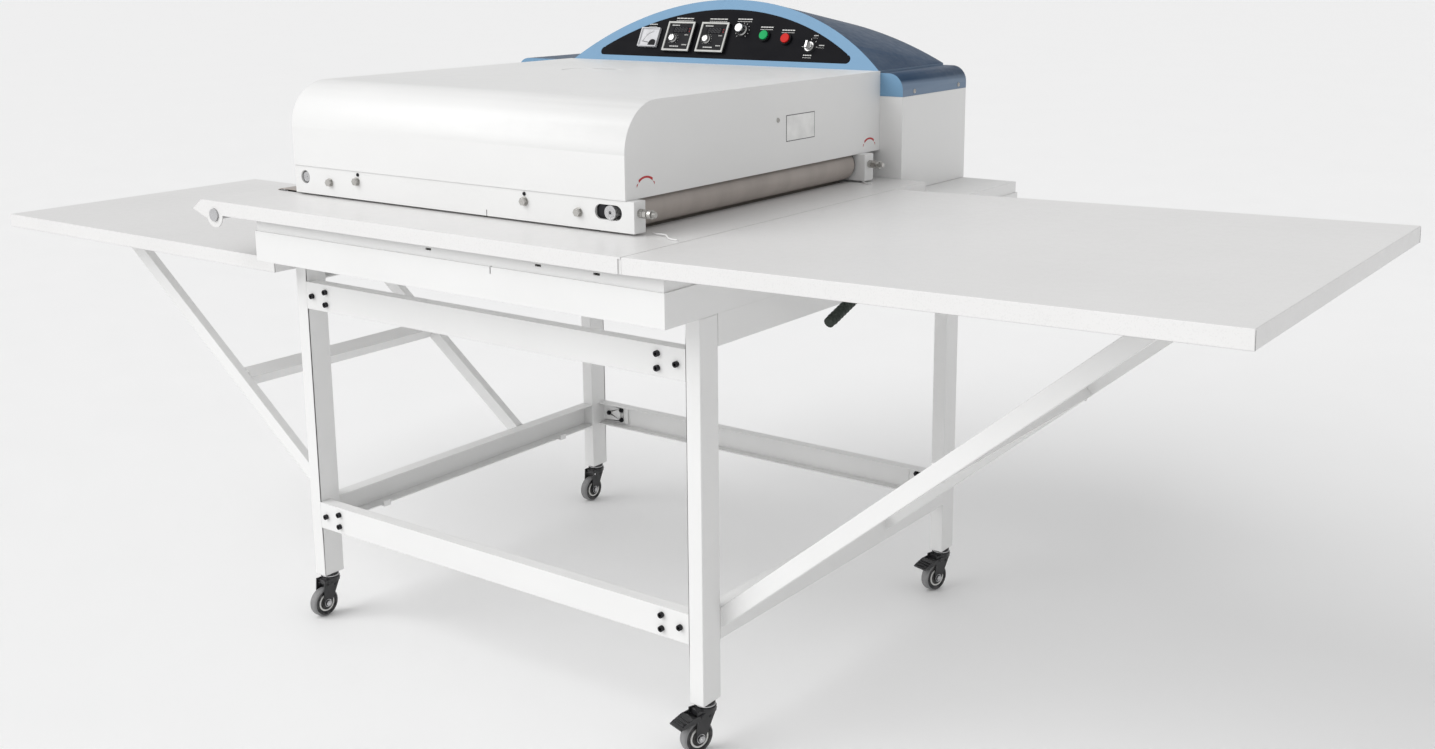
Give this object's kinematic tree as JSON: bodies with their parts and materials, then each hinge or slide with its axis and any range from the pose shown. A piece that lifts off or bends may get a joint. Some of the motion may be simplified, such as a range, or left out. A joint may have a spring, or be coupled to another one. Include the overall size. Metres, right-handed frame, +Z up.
{
  "type": "continuous fusing press",
  "caption": "Belt-type heat press: a hooded upper heating belt held over a conveyor on a braced tube stand with swivel casters, a table at each end and an arched control panel",
  "frame": {"origin": "on the floor under the middle of the whole footprint, both side tables and the gland at the back included", "axes": "+X along the conveyor to the right-hand infeed table, +Y from the operator side to the control cabinet, +Z up"},
  "size_m": [2.8844, 1.297, 1.2458],
  "materials": {
    "powder_white": "fine-textured white powder coat",
    "table_white": "white powder coat with a fine speckled texture",
    "bolt_black": "black oxide",
    "caster_black": "black coat",
    "caster_wheel": "grey polyurethane tread on a black core with a white ring",
    "lever_black": "black grip",
    "belt": "grey-brown glass-fibre cloth coated in fluoropolymer",
    "roller_steel": "turned steel",
    "heater_aluminium": "milled",
    "bolt_zinc": "zinc plated",
    "cover_blue": "satin two-tone blue",
    "panel_black": "satin printed overlay",
    "meter_white": "white moulded",
    "needle_black": "matt",
    "controller_black": "matt moulded with a pale bezel",
    "knob_silver": "satin",
    "button_green": "gloss",
    "button_red": "gloss",
    "gland_black": "moulded",
    "motor_grey": "grey enamel"
  },
  "bodies": {
    "machine": {"leg_front_left": "powder_white", "leg_front_right": "powder_white", "leg_rear_left": "powder_white", "leg_rear_right": "powder_white", "upper_front_beam": "powder_white", "upper_rear_beam": "powder_white", "lower_front_beam": "powder_white", "lower_rear_beam": "powder_white", "upper_left_rail": "powder_white", "upper_right_rail": "powder_white", "lower_left_rail": "powder_white", "lower_right_rail": "powder_white", "stand_bolts": "bolt_black", "left_table": "table_white", "right_table": "table_white", "left_brace_front_arm": "powder_white", "left_brace_rear_arm": "powder_white", "right_brace_front_arm": "powder_white", "right_brace_rear_arm": "powder_white", "brace_crossbars": "powder_white", "cable_gland": "gland_black", "base_box": "powder_white", "deck": "table_white", "lower_belt": "belt", "lower_heater": "heater_aluminium", "head_front_rail": "powder_white", "head_rear_rail": "powder_white", "hood": "powder_white", "upper_belt": "belt", "upper_heater": "heater_aluminium", "head_bolts": "bolt_zinc", "rear_cabinet": "powder_white", "control_cover": "cover_blue", "control_panel": "panel_black", "ammeter": "meter_white", "temperature_controllers": "controller_black", "drive_motor": "motor_grey"},
    "fork_front_left": {"caster_fork_front_left": "caster_black"},
    "wheel_front_left": {"caster_wheel_front_left": "caster_wheel"},
    "fork_front_right": {"caster_fork_front_right": "caster_black"},
    "wheel_front_right": {"caster_wheel_front_right": "caster_wheel"},
    "pedal_front_right": {"brake_pedal_front_right": "caster_black"},
    "fork_rear_left": {"caster_fork_rear_left": "caster_black"},
    "wheel_rear_left": {"caster_wheel_rear_left": "caster_wheel"},
    "fork_rear_right": {"caster_fork_rear_right": "caster_black"},
    "wheel_rear_right": {"caster_wheel_rear_right": "caster_wheel"},
    "pedal_rear_right": {"brake_pedal_rear_right": "caster_black"},
    "upper_drive": {"upper_drive_roller": "roller_steel"},
    "lower_drive": {"lower_drive_roller": "roller_steel"},
    "nose": {"lower_nose_roller": "roller_steel"},
    "return": {"lower_return_roller": "roller_steel"},
    "tension": {"upper_tension_roller": "roller_steel"},
    "upper_temperature": {"temperature_knob_upper": "knob_silver"},
    "lower_temperature": {"temperature_knob_lower": "knob_silver"},
    "speed": {"speed_knob": "knob_silver"},
    "selector": {"selector_knob": "knob_silver"},
    "meter_needle": {"ammeter_needle": "needle_black"},
    "start": {"start_button": "button_green"},
    "stop": {"stop_button": "button_red"},
    "lever": {"pressure_lever": "lever_black"}
  },
  "joints": [
    {"name": "swivel_front_left", "type": "hinge", "parent": "machine", "child": "fork_front_left", "pos_m": [-0.46419, -0.5135, 0.09], "axis": [0, 0, 1], "continuous": true},
    {"name": "roll_front_left", "type": "hinge", "parent": "fork_front_left", "child": "wheel_front_left", "pos_m": [-0.46488, -0.53349, 0.03], "axis": [0.9994, -0.0349, 0], "continuous": true},
    {"name": "swivel_front_right", "type": "hinge", "parent": "machine", "child": "fork_front_right", "pos_m": [0.51582, -0.5135, 0.09], "axis": [0, 0, 1], "continuous": true},
    {"name": "roll_front_right", "type": "hinge", "parent": "fork_front_right", "child": "wheel_front_right", "pos_m": [0.50963, -0.53252, 0.03], "axis": [0.9511, -0.309, 0], "continuous": true},
    {"name": "brake_front_right", "type": "hinge", "parent": "fork_front_right", "child": "pedal_front_right", "pos_m": [0.51025, -0.53062, 0.07], "axis": [0.9511, -0.309, 0], "range_deg": [0, 10]},
    {"name": "swivel_rear_left", "type": "hinge", "parent": "machine", "child": "fork_rear_left", "pos_m": [-0.46419, 0.3365, 0.09], "axis": [0, 0, 1], "continuous": true},
    {"name": "roll_rear_left", "type": "hinge", "parent": "fork_rear_left", "child": "wheel_rear_left", "pos_m": [-0.46488, 0.31651, 0.03], "axis": [0.9994, -0.0349, 0], "continuous": true},
    {"name": "swivel_rear_right", "type": "hinge", "parent": "machine", "child": "fork_rear_right", "pos_m": [0.51582, 0.3365, 0.09], "axis": [0, 0, 1], "continuous": true},
    {"name": "roll_rear_right", "type": "hinge", "parent": "fork_rear_right", "child": "wheel_rear_right", "pos_m": [0.50997, 0.31737, 0.03], "axis": [0.9563, -0.2924, 0], "continuous": true},
    {"name": "brake_rear_right", "type": "hinge", "parent": "fork_rear_right", "child": "pedal_rear_right", "pos_m": [0.51055, 0.31929, 0.07], "axis": [0.9563, -0.2924, 0], "range_deg": [0, 10]},
    {"name": "upper_drive_spin", "type": "hinge", "parent": "machine", "child": "upper_drive", "pos_m": [-0.48618, -0.0885, 0.9176], "axis": [0, 1, 0], "continuous": true},
    {"name": "lower_drive_spin", "type": "hinge", "parent": "machine", "child": "lower_drive", "pos_m": [-0.48618, -0.0885, 0.853], "axis": [0, 1, 0], "continuous": true},
    {"name": "nose_spin", "type": "hinge", "parent": "machine", "child": "nose", "pos_m": [-0.58018, -0.0885, 0.853], "axis": [0, 1, 0], "continuous": true},
    {"name": "return_spin", "type": "hinge", "parent": "machine", "child": "return", "pos_m": [0.28081, -0.0885, 0.853], "axis": [0, 1, 0], "continuous": true},
    {"name": "tension_spin", "type": "hinge", "parent": "machine", "child": "tension", "pos_m": [0.31032, -0.0885, 0.9176], "axis": [0, 1, 0], "continuous": true},
    {"name": "upper_temperature_turn", "type": "hinge", "parent": "machine", "child": "upper_temperature", "pos_m": [-0.21818, 0.36892, 1.1549], "axis": [0, 0.891, -0.454], "range_deg": [0, 270]},
    {"name": "lower_temperature_turn", "type": "hinge", "parent": "machine", "child": "lower_temperature", "pos_m": [-0.12219, 0.36892, 1.1549], "axis": [0, 0.891, -0.454], "range_deg": [0, 270]},
    {"name": "speed_turn", "type": "hinge", "parent": "machine", "child": "speed", "pos_m": [-0.03519, 0.38118, 1.17895], "axis": [0, 0.891, -0.454], "range_deg": [0, 270]},
    {"name": "selector_turn", "type": "hinge", "parent": "machine", "child": "selector", "pos_m": [0.15382, 0.36575, 1.14866], "axis": [0, 0.891, -0.454], "range_deg": [0, 60]},
    {"name": "meter_needle_turn", "type": "hinge", "parent": "machine", "child": "meter_needle", "pos_m": [-0.27819, 0.36348, 1.1442], "axis": [0, 0.891, -0.454], "range_deg": [0, 75]},
    {"name": "start_press", "type": "slide", "parent": "machine", "child": "start", "axis": [0, 0.891, -0.454], "range_m": [0, 0.003], "stiffness_N_per_m": 300},
    {"name": "stop_press", "type": "slide", "parent": "machine", "child": "stop", "axis": [0, 0.891, -0.454], "range_m": [0, 0.003], "stiffness_N_per_m": 300},
    {"name": "pressure_lever_turn", "type": "hinge", "parent": "machine", "child": "lever", "pos_m": [0.57581, -0.0485, 0.815], "axis": [1, 0, 0], "range_deg": [0, 45]}
  ],
  "couplings": [
    {"joint": "lower_drive_spin", "follows": "upper_drive_spin", "ratio": -1},
    {"joint": "nose_spin", "follows": "upper_drive_spin", "ratio": -1},
    {"joint": "return_spin", "follows": "upper_drive_spin", "ratio": -1},
    {"joint": "tension_spin", "follows": "upper_drive_spin", "ratio": 1}
  ]
}
